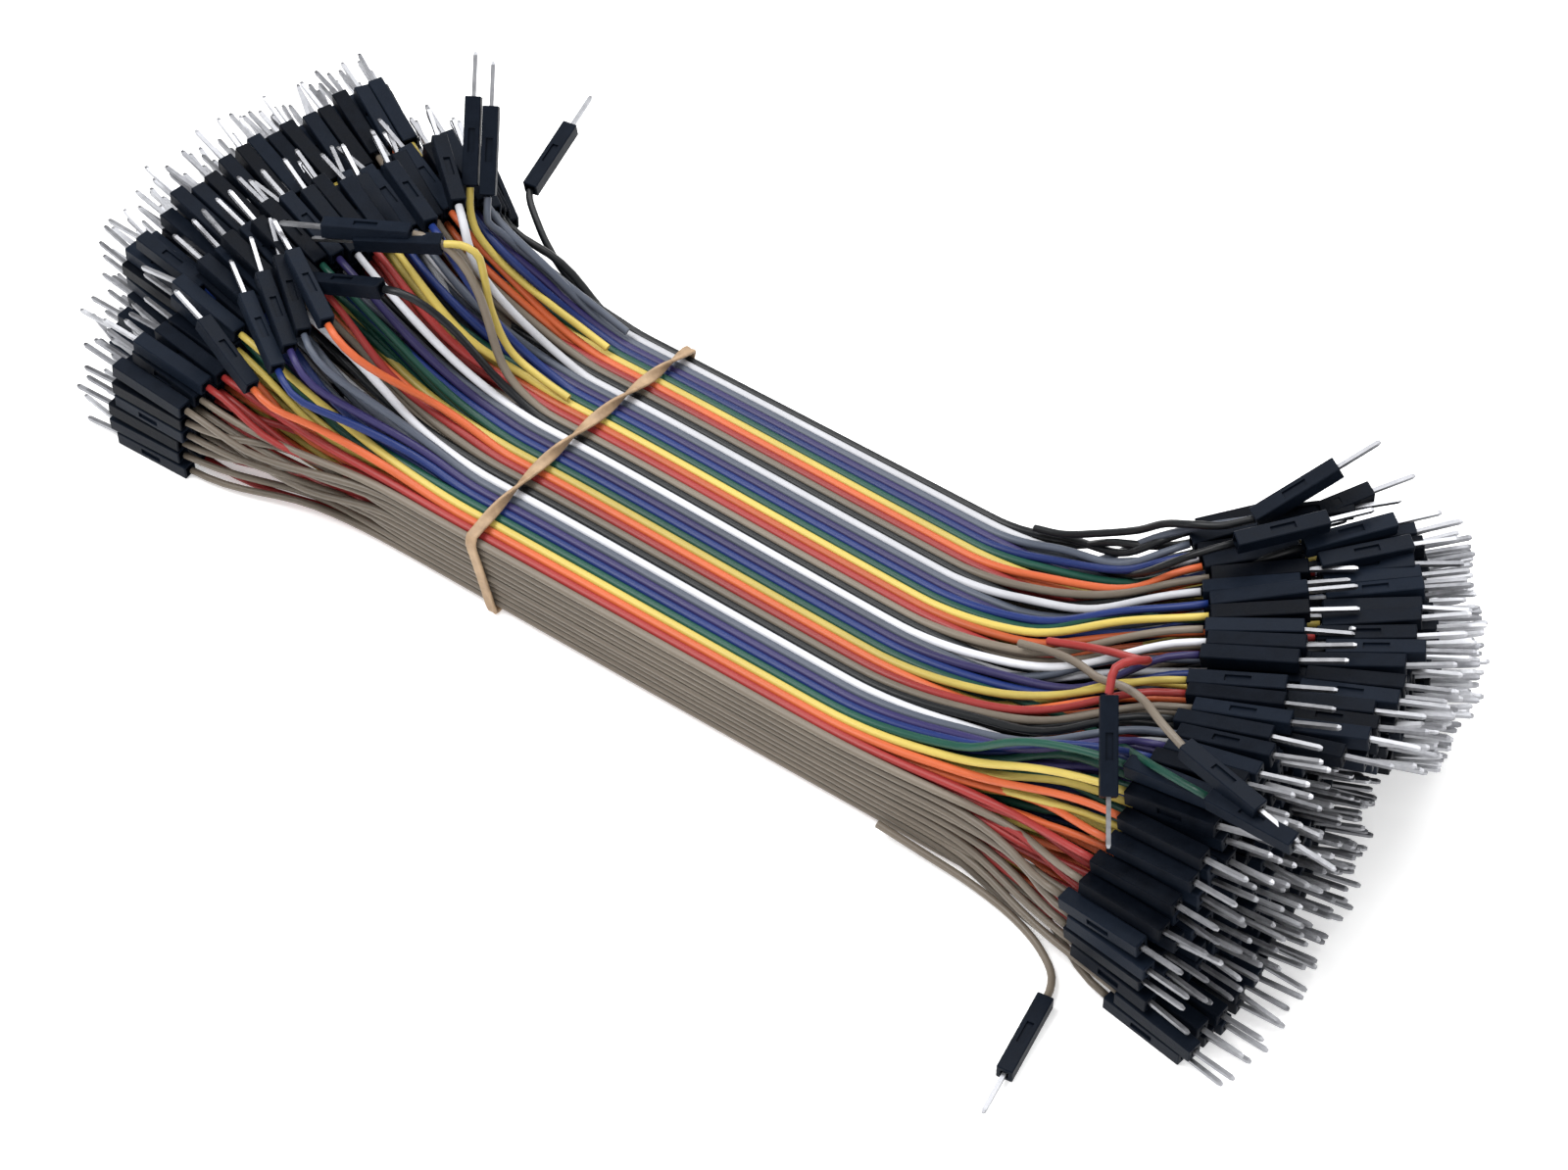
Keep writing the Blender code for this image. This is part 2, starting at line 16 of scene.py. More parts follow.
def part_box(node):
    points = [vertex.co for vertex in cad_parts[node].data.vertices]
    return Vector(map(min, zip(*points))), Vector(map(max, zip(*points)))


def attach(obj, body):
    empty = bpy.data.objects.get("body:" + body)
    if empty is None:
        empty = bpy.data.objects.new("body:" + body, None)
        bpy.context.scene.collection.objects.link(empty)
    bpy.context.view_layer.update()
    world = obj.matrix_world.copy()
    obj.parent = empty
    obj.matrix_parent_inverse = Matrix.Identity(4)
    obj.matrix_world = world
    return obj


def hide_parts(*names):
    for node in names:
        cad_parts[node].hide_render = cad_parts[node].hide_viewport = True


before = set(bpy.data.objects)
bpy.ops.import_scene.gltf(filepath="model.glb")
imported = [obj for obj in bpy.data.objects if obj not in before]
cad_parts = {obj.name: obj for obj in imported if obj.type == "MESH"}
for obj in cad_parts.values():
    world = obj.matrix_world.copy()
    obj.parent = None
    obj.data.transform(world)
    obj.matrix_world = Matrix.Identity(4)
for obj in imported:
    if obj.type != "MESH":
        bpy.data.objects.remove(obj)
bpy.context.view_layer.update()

# Flat cables
RIBBONS = 10
WIRES = 40
WIRE_PITCH = 0.00127
RIBBON_THICKNESS = 0.00112
LAYER_GAP = 0.00018
CROWN = 0.0028
CROWN_REACH = 0.045

# Wires of a cable: bonded ones overlap their neighbours, single ones are round
BONDED_WIDTH = 0.00142
BONDED_HEIGHT = 0.00113
BOND_ENDS_OVER = 0.006
SINGLE_DIAMETER = 0.00114
TOP_STATIONS, TOP_SIDES = 72, 10
LOWER_STATIONS, LOWER_SIDES = 56, 8
FLAT_STEPS = 6
CURVE_STEPS = 6

# How far a cable slips sideways in the stack, and where along it
CABLE_SLIP = 0.00030
SLIP_MIDDLE = 0.02
SLIP_REACH = 0.05

# Split wires, on their way from the cable to their housings
EARLY_SPLIT = {"left": 0.020, "right": 0.012}
LEAST_STRAIGHT = 0.004
RISE_STEPS = 4
RISE_BOW = 1.04
TAIL_STEPS = 10
LEAVING_PULL = 0.40
ARRIVING_PULL = 0.34
PULL_SPREAD = 0.10
GROUP_SWAY = 0.0012
GROUP_SIZE = 4
WIRE_SWAY = 0.0004

# Connectors
HOUSING_LENGTH = 0.0140
HOUSING_SIDE = 0.00254
HOUSING_CHAMFER = 0.00013
WIRE_MOUTH = 0.0018
WIRE_MOUTH_DEPTH = 0.0010
PIN_MOUTH_DEPTH = 0.0008
CUT_OVERSHOOT = 0.001
PIN_SIDE = 0.00064
PIN_LENGTH = 0.0070
PIN_TAPER = 0.0005
PIN_TIP_SHARE = 0.6
CLEARANCE = 0.0003
LATCH_LENGTH = 0.0038
LATCH_WIDTH = 0.0011
LATCH_DEPTH = 0.0004
LATCH_FROM_REAR = 0.0052

# Heaps of connectors
ROWS = 12
ROW_GAP = 0.00012
TOP_ROW_TILT = math.radians(11.0)
OUTER_SLOPE = 0.010
OPEN_ROWS = 2
BLUNT_ROWS = 5
FULL_ROWS = 7
TOP_PACKING = 0.2
PULL_REACH = 0.40
ARC_STEPS = 40

# Unevenness of a heap, in metres and in degrees
HEAP_SLIP = 0.0012
HEAP_YAW = 2.0
HEAP_PITCH = 1.2
HEAP_ROLL = 3.0
STRAY_ROLL = 8.0
PIN_BEND = {"left": 4.5, "right": 3.0}

# Rubber band
BAND_WIDTH = 0.0019
BAND_THICKNESS = 0.0007
BAND_GAP = 0.0003
BAND_SLANT = 0.0016
BAND_CORNER = 0.0007
BAND_CREASE = 0.45
BAND_SQUARENESS = 0.6
BAND_TURNS_AT = (0.04, 0.30, 0.54, 0.77, 0.98)
BAND_TOP_POINTS, BAND_SIDE_POINTS, BAND_UNDER_POINTS = 13, 5, 9
BAND_STATIONS = 300
BAND_SIDES = 16

# Loose wires
WIRE_DIAMETER = 0.00122
LOOSE_CURVE_STEPS = 12
LOOSE_POINT_SPACING = 0.0012

RIBBON_WIDTH = WIRES * WIRE_PITCH
LAYER_PITCH = RIBBON_THICKNESS + LAYER_GAP
ROW_PITCH = HOUSING_SIDE + ROW_GAP
FIRST_LAYER = BAND_THICKNESS + BAND_GAP + RIBBON_THICKNESS / 2
STACK_TOP = FIRST_LAYER + (RIBBONS - 1) * LAYER_PITCH + RIBBON_THICKNESS / 2

# Camera, set from the photo
CAMERA_AZIMUTH = math.radians(35.27)
CAMERA_ELEVATION = math.radians(49.81)
CAMERA_DISTANCE = 0.56445
CAMERA_TARGET = (0.0351, 0.00451, 0.0)
CAMERA_LENS = 83.25
CAMERA_SENSOR = 36.0

# Studio: strength of the world as light and in reflections, and lamps with their name, place,
# size in metres and power in watts
WORLD_LEVEL = 0.55
WORLD_IN_GLOSS = 0.32
FLOOR_HALF = 3.0
FLOOR_THICKNESS = 0.02
FLOOR_SHADE = 0.93
FLOOR_GLOW = 0.35
LAMP_AIM = (0.02, 0.0, 0.01)
LAMPS = (
    ("key", (-0.5, -0.3, 1.1), 0.7, 14.0),
    ("fill", (0.9, -0.9, 0.8), 0.9, 6.0),
    ("rim", (-0.10, 0.70, 1.10), 0.8, 12.0),
)

band_low, band_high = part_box("rubber_band")
SHIFT = Vector(((band_low.x + band_high.x) / 2, (band_low.y + band_high.y) / 2, 0.0))


def add_camera():
    data = bpy.data.cameras.new("camera")
    data.lens = CAMERA_LENS
    data.sensor_width = CAMERA_SENSOR
    data.sensor_fit = "HORIZONTAL"
    data.clip_start = 0.01
    data.clip_end = 10.0
    camera = bpy.data.objects.new("camera", data)
    bpy.context.scene.collection.objects.link(camera)
    turn, rise = CAMERA_AZIMUTH, CAMERA_ELEVATION
    right = Vector((math.cos(turn), math.sin(turn), 0.0))
    level = math.cos(rise)
    back = Vector((math.sin(turn) * level, -math.cos(turn) * level, math.sin(rise)))
    up = back.cross(right)
    place = Vector(CAMERA_TARGET) + SHIFT + back * CAMERA_DISTANCE
    axes = Matrix((right, up, back)).transposed().to_4x4()
    camera.matrix_world = Matrix.Translation(place) @ axes
    bpy.context.scene.camera = camera


# Materials

def linear(red, green, blue):
    """A colour from 0 to 255 in each channel, as the shader takes it."""
    shades = [value / 255.0 for value in (red, green, blue)]
    return tuple(v / 12.92 if v <= 0.04045 else ((v + 0.055) / 1.055) ** 2.4 for v in shades)


def add_node(tree, kind, **settings):
    node = tree.nodes.new(kind)
    for name, value in settings.items():
        if name in node.inputs:
            node.inputs[name].default_value = value
        else:
            setattr(node, name, value)
    return node


BUMP_DISTANCE = 0.0002
FINE_BUMP_SCALE = 5


def varied_material(name, dark, light, roughness, scale, spread, metallic=0.0, bump=0.05,
                    stretch=(1, 1, 1), by_piece=0.0, specular=0.5):
    """A finish whose colour runs between two shades, with uneven gloss and a fine bump."""
    material = bpy.data.materials.new(name)
    material.use_nodes = True
    tree = material.node_tree
    shader = tree.nodes["Principled BSDF"]
    shader.inputs["Metallic"].default_value = metallic
    shader.inputs["Specular IOR Level"].default_value = specular
    where = add_node(tree, "ShaderNodeTexCoord")
    mapping = add_node(tree, "ShaderNodeMapping")
    mapping.inputs["Scale"].default_value = stretch
    tree.links.new(where.outputs["Object"], mapping.inputs["Vector"])
    noise = add_node(tree, "ShaderNodeTexNoise", Scale=scale, Detail=4.0, Roughness=0.6)
    tree.links.new(mapping.outputs["Vector"], noise.inputs["Vector"])
    amount = noise.outputs["Fac"]
    if by_piece:
        geometry = add_node(tree, "ShaderNodeNewGeometry")
        mix = add_node(tree, "ShaderNodeMix", data_type="FLOAT")
        mix.inputs[0].default_value = by_piece
        tree.links.new(amount, mix.inputs[2])
        tree.links.new(geometry.outputs["Random Per Island"], mix.inputs[3])
        amount = mix.outputs[0]
    ramp = add_node(tree, "ShaderNodeValToRGB")
    ramp.color_ramp.elements[0].position = 0.5 - spread
    ramp.color_ramp.elements[1].position = 0.5 + spread
    ramp.color_ramp.elements[0].color = (*dark, 1.0)
    ramp.color_ramp.elements[1].color = (*light, 1.0)
    tree.links.new(amount, ramp.inputs["Fac"])
    tree.links.new(ramp.outputs["Color"], shader.inputs["Base Color"])
    gloss = add_node(tree, "ShaderNodeMapRange")
    gloss.inputs["To Min"].default_value = roughness[0]
    gloss.inputs["To Max"].default_value = roughness[1]
    tree.links.new(noise.outputs["Fac"], gloss.inputs["Value"])
    tree.links.new(gloss.outputs["Result"], shader.inputs["Roughness"])
    fine = add_node(tree, "ShaderNodeTexNoise", Scale=scale * FINE_BUMP_SCALE, Detail=3.0)
    tree.links.new(mapping.outputs["Vector"], fine.inputs["Vector"])
    relief = add_node(tree, "ShaderNodeBump", Strength=bump, Distance=BUMP_DISTANCE)
    tree.links.new(fine.outputs["Fac"], relief.inputs["Height"])
    tree.links.new(relief.outputs["Normal"], shader.inputs["Normal"])
    return material


# Middle colour of each wire's PVC, in the order across a cable
WIRE_COLOURS = {
    "brown": (102, 93, 82),
    "red": (138, 40, 38),
    "orange": (176, 82, 44),
    "yellow": (180, 160, 78),
    "green": (14, 62, 50),
    "blue": (14, 34, 88),
    "purple": (38, 33, 76),
    "grey": (70, 76, 88),
    "white": (186, 187, 192),
    "black": (8, 11, 15),
}


def wire_material(name):
    """PVC that runs from a little darker to a little lighter than its colour."""
    colour = WIRE_COLOURS[name]
    dark = linear(*[value * 0.88 for value in colour])
    light = linear(*[min(255, value * 1.10 + 3) for value in colour])
    return varied_material(name + "_pvc", dark, light, roughness=(0.36, 0.52), scale=260.0,
                           spread=0.28, stretch=(0.25, 1, 1), bump=0.06, by_piece=0.45,
                           specular=0.35)


wire_finishes = {name: wire_material(name) for name in WIRE_COLOURS}
housing_finish = varied_material(
    "housing_moulding", linear(4, 7, 14), linear(19, 26, 37), roughness=(0.36, 0.54),
    scale=420.0, spread=0.30, bump=0.12, by_piece=0.6, specular=0.06)
pin_finish = varied_material(
    "pin_tin", linear(100, 101, 105), linear(176, 177, 181), roughness=(0.34, 0.50),
    scale=700.0, spread=0.35, metallic=1.0, bump=0.01, by_piece=0.5)
rubber_finish = varied_material(
    "band_latex", linear(128, 104, 80), linear(178, 150, 118), roughness=(0.5, 0.72),
    scale=500.0, spread=0.3, bump=0.25)


# Meshes

def add_piece(name, mesh, materials):
    """A piece of the object that rides on its one body."""
    piece = bpy.data.objects.new(name, mesh)
    bpy.context.scene.collection.objects.link(piece)
    for material in materials:
        mesh.materials.append(material)
    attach(piece, "root")
    return piece


def mesh_of(name, points, faces, smooth, slots=None):
    mesh = bpy.data.meshes.new(name)
    mesh.from_pydata(points.tolist(), [], faces)
    mesh.polygons.foreach_set("use_smooth", [smooth] * len(faces))
    if slots is not None:
        mesh.polygons.foreach_set("material_index", slots)
    mesh.update()
    return mesh


def unit(vectors):
    return vectors / np.linalg.norm(vectors, axis=-1, keepdims=True)


def smooth_points(points, steps):
    """Points on a smooth curve through a route, with a number of steps to each stretch."""
    points = np.asarray(points, float)
    padded = np.vstack([2 * points[0] - points[1], points, 2 * points[-1] - points[-2]])
    times = (np.arange(steps) / steps)[:, None]
    dense = []
    for index in range(1, len(padded) - 2):
        before, first, second, after = padded[index - 1:index + 3]
        dense.append(0.5 * (2 * first + (second - before) * times
                            + (2 * before - 5 * first + 4 * second - after) * times ** 2
                            + (3 * first - before - 3 * second + after) * times ** 3))
    return np.vstack(dense + [points[-1:]])


def along(points):
    """Length walked to each point of a line."""
    return np.concatenate([[0.0], np.cumsum(np.linalg.norm(np.diff(points, axis=0), axis=1))])


def evenly(points, count):
    """Points at an even spacing on a line."""
    walked = along(points)
    marks = np.linspace(0.0, walked[-1], count)
    return np.stack([np.interp(marks, walked, points[:, axis]) for axis in range(3)], axis=1)


def tubes(name, lines, widths, heights, sides, slots):
    """One mesh of closed tubes along lines, level across, with widths and heights by point."""
    points, faces, marks = [], [], []
    turns = np.arange(sides) * 2 * math.pi / sides + math.pi / sides
    start = 0
    for line, width, height, mark in zip(lines, widths, heights, slots):
        heading = unit(np.gradient(line, axis=0))
        aside = unit(np.cross(heading, (0.0, 0.0, 1.0)))
        upward = np.cross(aside, heading)
        ring = (aside[:, None, :] * np.cos(turns)[None, :, None] * (width / 2)[:, None, None]
                + upward[:, None, :] * np.sin(turns)[None, :, None] * (height / 2)[:, None, None])
        points.append((line[:, None, :] + ring).reshape(-1, 3))
        for station in range(len(line) - 1):
            low = start + station * sides
            for side in range(sides):
                after = (side + 1) % sides
                faces.append((low + side, low + after, low + sides + after, low + sides + side))
        last = start + (len(line) - 1) * sides
        faces.append(tuple(range(start + sides - 1, start - 1, -1)))
        faces.append(tuple(range(last, last + sides)))
        marks += [mark] * ((len(line) - 1) * sides + 2)
        start += len(line) * sides
    return mesh_of(name, np.vstack(points), faces, True, marks)


# Fans, as in the part's source; angles in radians from the cable's own direction

@dataclass(frozen=True)
class Fan:
    """One end of the bundle: a round fan of connectors in level rows, low at the near edge."""

    name: str
    side: int
    centre: tuple
    radius: float
    first: float
    low_last: float
    top_last: float
    rise: float
    near_split: float
    far_split: float
    hinge: float
    low_offset: float
    top_offset: float
    near_cut: float
    far_cut: float
    near_pull: float
    outer_rows: int
    outer_low: float
    outer_top: float
    outer_last: float
    outer_offset: float
    outer_lean: float
    outer_bulge: float
    outer_spread: float
    seed: int

    def angle(self, row, share):
        last = self.low_last + (self.top_last - self.low_last) * row / (ROWS - 1)
        return self.first + (last - self.first) * share

    def heading(self, angle):
        return Vector((self.side * math.cos(angle), math.sin(angle), 0.0))

    def pull(self, row, angle):
        if row < OPEN_ROWS:
            return 0.0
        share = (angle - self.first) / (self.low_last - self.first)
        return self.near_pull * max(0.0, 1.0 - share / PULL_REACH) ** 1.5

    def place(self, row, radius, angle):
        middle = Vector((self.centre[0], self.centre[1], 0.0))
        return middle + (radius - self.pull(row, angle)) * self.heading(angle)

    def tilt(self, row):
        return TOP_ROW_TILT * row / (ROWS - 1)

    def rear(self, row):
        """Radius of the rear faces of a row's inner rank, stepping in faster towards the top."""
        step = self.top_offset - self.low_offset
        return self.radius + self.low_offset + step * (row / (ROWS - 1)) ** 2

    def shares(self, row):
        near = self.near_cut * max(0, row - BLUNT_ROWS) / (ROWS - 1 - BLUNT_ROWS)
        far = self.far_cut * max(0, row - FULL_ROWS) / (ROWS - 1 - FULL_ROWS)
        return near, 1.0 - far

    def on_row(self, row, point):
        tilt = self.tilt(row)
        out = self.side * (point.x - self.hinge)
        x = self.hinge + self.side * out * math.cos(tilt)
        return Vector((x, point.y, row * ROW_PITCH + HOUSING_SIDE / 2 + out * math.sin(tilt)))

    def facing(self, row, angle):
        """Direction of a connector in its tilted row."""
        flat = self.heading(angle)
        tilt = self.tilt(row)
        up = self.side * flat.x * math.sin(tilt)
        return Vector((flat.x * math.cos(tilt), flat.y, up)).normalized()

    def runs(self):
        found = []
        for row in range(ROWS):
            near, far = self.shares(row)
            radius = self.rear(row)
            found.append((row, 0, self.angle(row, near), self.angle(row, far), radius))
            if row < self.outer_rows:
                first = self.outer_low + (self.outer_top - self.outer_low) * row / (ROWS - 1)
                start = self.angle(row, max(near, first))
                stop = self.angle(row, self.outer_last - OUTER_SLOPE * row)
                found.append((row, 1, start, stop, radius + self.outer_offset))
        return found

    def arc(self, row, start, stop, radius):
        angles = np.linspace(start, stop, ARC_STEPS + 1)
        radii = np.array([radius - self.pull(row, angle) for angle in angles])
        pieces = (radii[1:] + radii[:-1]) / 2 * np.diff(angles)
        return angles, np.concatenate([[0.0], np.cumsum(pieces)])

    def slots(self):
        """Row, rank, angle and rear radius of each connector."""
        runs = self.runs()
        arcs = [self.arc(row, start, stop, radius) for row, rank, start, stop, radius in runs]
        packing = [1.0 + TOP_PACKING * run[0] / (ROWS - 1) for run in runs]
        room = [walked[-1] * packed for packed, (angles, walked) in zip(packing, arcs)]
        total = sum(room)
        wanted = RIBBONS * WIRES
        found = []
        passed = 0.0
        for (row, rank, start, stop, radius), (angles, walked), share in zip(runs, arcs, room):
            count = round((passed + share) * wanted / total) - round(passed * wanted / total)
            passed += share
            for column in range(count):
                done = (column + 0.5) / count
                angle = float(np.interp(walked[-1] * done, walked, angles))
                bulge = self.outer_bulge * math.sin(math.pi * done) ** 4
                lean = self.outer_lean * (1.0 - done) - bulge
                spread = self.outer_spread * (self.outer_rows - 1 - row) * done
                found.append((row, rank, angle, radius + rank * (spread - lean)))
        return found


RIGHT_FAN = Fan(
    name="right",
    side=1,
    centre=(0.048, -0.021),
    radius=0.070,
    first=math.radians(-10.5),
    low_last=math.radians(47.0),
    top_last=math.radians(48.5),
    rise=0.060,
    near_split=0.094,
    far_split=0.083,
    hinge=0.090,
    low_offset=0.001,
    top_offset=-0.005,
    near_cut=0.20,
    far_cut=0.02,
    near_pull=0.009,
    outer_rows=11,
    outer_low=0.72,
    outer_top=0.36,
    outer_last=1.0,
    outer_offset=0.0175,
    outer_lean=0.0085,
    outer_bulge=0.0025,
    outer_spread=0.0,
    seed=11,
)
LEFT_FAN = Fan(
    name="left",
    side=-1,
    centre=(0.059, -0.031),
    radius=0.1135,
    first=math.radians(-1.0),
    low_last=math.radians(33.0),
    top_last=math.radians(32.5),
    rise=-0.006,
    near_split=-0.036,
    far_split=-0.026,
    hinge=-0.036,
    low_offset=0.001,
    top_offset=-0.0065,
    near_cut=0.36,
    far_cut=0.08,
    near_pull=0.0,
    outer_rows=10,
    outer_low=0.14,
    outer_top=0.25,
    outer_last=0.94,
    outer_offset=0.0185,
    outer_lean=0.0070,
    outer_bulge=0.0,
    outer_spread=0.0010,
    seed=23,
)


def crown(share):
    return CROWN * (1.0 - (2.0 * share - 1.0) ** 2)


def flat_height(layer, share, x):
    return FIRST_LAYER + layer * LAYER_PITCH + crown(share) / (1.0 + (x / CROWN_REACH) ** 2)


def across(share):
    return (share - 0.5) * RIBBON_WIDTH


def rise_points(fan, layer, share, connector):
    """A wire from its cable's rise to where it splits off, on its way up to its connector."""
    full = fan.side * (fan.near_split + (fan.far_split - fan.near_split) * share - fan.rise)
    split = fan.rise + fan.side * max(full - EARLY_SPLIT[fan.name], LEAST_STRAIGHT)
    start = Vector((fan.rise, across(share), 0.0))
    corner = Vector((split, across(share), 0.0))
    stop = connector.rear
    straight = abs(split - fan.rise)
    total = straight + RISE_BOW * math.hypot(stop.x - corner.x, stop.y - corner.y)
    low = flat_height(layer, share, fan.rise)
    points = []
    for step in range(RISE_STEPS + 1):
        point = start.lerp(corner, step / RISE_STEPS)
        done = straight * step / RISE_STEPS / total
        point.z = low + (stop.z - low) * done * done * (2.0 - done)
        points.append(point)
    return points


def shared_out(fan):
    """A fan's slots for each cable's wires, in columns that fill from the lowest cable up."""
    slots = sorted(fan.slots(), key=lambda slot: slot[2])
    columns = [sorted(slots[wire * RIBBONS:(wire + 1) * RIBBONS]) for wire in range(WIRES)]
    return [[column[layer] for column in columns] for layer in range(RIBBONS)]


def aimed(forward, roll):
    """Turn of a housing that points forward, with its latch window rolled to one side."""
    turn = forward.to_track_quat("X", "Z").to_matrix().to_4x4()
    return turn @ Matrix.Rotation(roll, 4, "X")


class Connector:
    """Where one housing and its pin lie, with the unevenness of a heap."""

    def __init__(self, row, rear, forward, roll, draws, pin_bend):
        self.row = row
        self.rear = rear
        self.forward = forward
        self.matrix = Matrix.Translation(rear + SHIFT) @ aimed(forward, roll)
        yaw, pitch = np.radians(draws.normal(0.0, pin_bend, 2))
        mouth = Matrix.Translation((HOUSING_LENGTH, 0.0, 0.0))
        bend = Matrix.Rotation(yaw, 4, "Z") @ Matrix.Rotation(pitch, 4, "Y")
        self.pin_matrix = self.matrix @ mouth @ bend @ mouth.inverted()


def heaped(fan, slot, draws):
    """A connector in its slot of the heap."""
    row, rank, angle, radius = slot
    out = draws.uniform(-HEAP_SLIP, HEAP_SLIP)
    rear = fan.on_row(row, fan.place(row, radius + out, angle))
    forward = fan.facing(row, angle)
    aside = forward.cross(Vector((0.0, 0.0, 1.0))).normalized()
    upward = aside.cross(forward)
    yaw, pitch = np.radians(draws.normal(0.0, (HEAP_YAW, HEAP_PITCH)))
    if row == 0:
        pitch = abs(pitch)
    forward = (forward + aside * math.tan(yaw) + upward * math.tan(pitch)).normalized()
    roll = math.radians(90.0 * draws.randint(0, 4) + (draws.normal(0.0, HEAP_ROLL) if row else 0.0))
    return Connector(row, rear, forward, roll, draws, PIN_BEND[fan.name])


def stray(fan, rear, yaw, pitch, draws):
    """A connector that lies askew on a heap, placed in millimetres and degrees."""
    forward = Vector((1.0, 0.0, 0.0))
    turn = Matrix.Rotation(math.radians(yaw), 3, "Z")
    forward.rotate(turn @ Matrix.Rotation(math.radians(-pitch), 3, "Y"))
    rear = Vector(rear) / 1000.0
    roll = math.radians(STRAY_ROLL)
    return Connector(ROWS - 1, rear, forward, roll, draws, PIN_BEND[fan.name])


def tail(corner, before, connector, draws, sway):
    """A split wire from its corner to the rear of its housing."""
    start = np.array(corner)
    stop = np.array(connector.rear - connector.forward * CLEARANCE)
    reach = np.linalg.norm(stop - start)
    leaving = unit(np.array(corner) - np.array(before))
    arriving = np.array(connector.forward)
    first = start + leaving * reach * (LEAVING_PULL + PULL_SPREAD * draws.rand())
    last = stop - arriving * reach * (ARRIVING_PULL + PULL_SPREAD * draws.rand())
    t = np.linspace(0.0, 1.0, TAIL_STEPS + 1)[1:, None]
    line = ((1 - t) ** 3 * start + 3 * (1 - t) ** 2 * t * first
            + 3 * (1 - t) * t ** 2 * last + t ** 3 * stop)
    return line + sway * (np.sin(math.pi * t) ** 2)


def wander(count, draws, size, run):
    """Smooth random values for neighbouring wires."""
    knots = draws.normal(0.0, size, (count // run + 2, 3))
    places = np.arange(count) / run
    marks = np.arange(len(knots))
    return np.stack([np.interp(places, marks, knots[:, axis]) for axis in range(3)], axis=1)


def build_cable(layer, ends, draws):
    """A cable's forty wires, bonded along the middle and single at both ends."""
    stations, sides = LOWER_STATIONS, LOWER_SIDES
    if layer == RIBBONS - 1:
        stations, sides = TOP_STATIONS, TOP_SIDES
    lines, widths, heights = [], [], []
    slip = draws.uniform(-CABLE_SLIP, CABLE_SLIP)
    sways = {}
    for fan in (LEFT_FAN, RIGHT_FAN):
        shared = wander(WIRES, draws, GROUP_SWAY, GROUP_SIZE)
        sways[fan.side] = shared + draws.normal(0.0, WIRE_SWAY, (WIRES, 3))
    for wire in range(WIRES):
        share = (wire + 0.5) / WIRES
        halves = []
        for fan in (LEFT_FAN, RIGHT_FAN):
            connector = ends[fan.side][layer][wire]
            rise = rise_points(fan, layer, share, connector)
            sway = sways[fan.side][wire]
            free = tail(rise[-1], rise[-2], connector, draws, sway)
            halves.append(np.vstack([np.array([tuple(point) for point in rise]), free]))
        middle = []
        for step in range(1, FLAT_STEPS):
            x = LEFT_FAN.rise + (RIGHT_FAN.rise - LEFT_FAN.rise) * step / FLAT_STEPS
            middle.append((x, across(share), flat_height(layer, share, x)))
        route = np.vstack([halves[0][::-1], middle, halves[1]])
        line = evenly(smooth_points(route, CURVE_STEPS), stations)
        line[:, 2] = np.maximum(line[:, 2], SINGLE_DIAMETER / 2)
        line[:, 1] += slip * np.exp(-((line[:, 0] - SLIP_MIDDLE) / SLIP_REACH) ** 2)
        bonded = np.clip((line[:, 0] - LEFT_FAN.near_split) / BOND_ENDS_OVER, 0, 1)
        bonded *= np.clip((RIGHT_FAN.near_split - line[:, 0]) / BOND_ENDS_OVER, 0, 1)
        lines.append(line + np.array(SHIFT))
        widths.append(SINGLE_DIAMETER + (BONDED_WIDTH - SINGLE_DIAMETER) * bonded)
        heights.append(SINGLE_DIAMETER + (BONDED_HEIGHT - SINGLE_DIAMETER) * bonded)
    order = list(WIRE_COLOURS)
    mesh = tubes(f"cable_wires_{layer + 1:02d}", lines, widths, heights, sides,
                 [wire % len(order) for wire in range(WIRES)])
    piece = add_piece(mesh.name, mesh, [wire_finishes[name] for name in order])
    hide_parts(f"ribbon_{layer + 1:02d}")


# Housings and pins

def template(low, high, bevel):
    """A box between two corners with chamfered edges."""
    shape = bmesh.new()
    bmesh.ops.create_cube(shape, size=1.0)
    for vert in shape.verts:
        for axis in range(3):
            vert.co[axis] = low[axis] + (high[axis] - low[axis]) * (vert.co[axis] + 0.5)
    if bevel:
        bmesh.ops.bevel(shape, geom=shape.edges[:], offset=bevel, segments=1, affect="EDGES")
    return shape


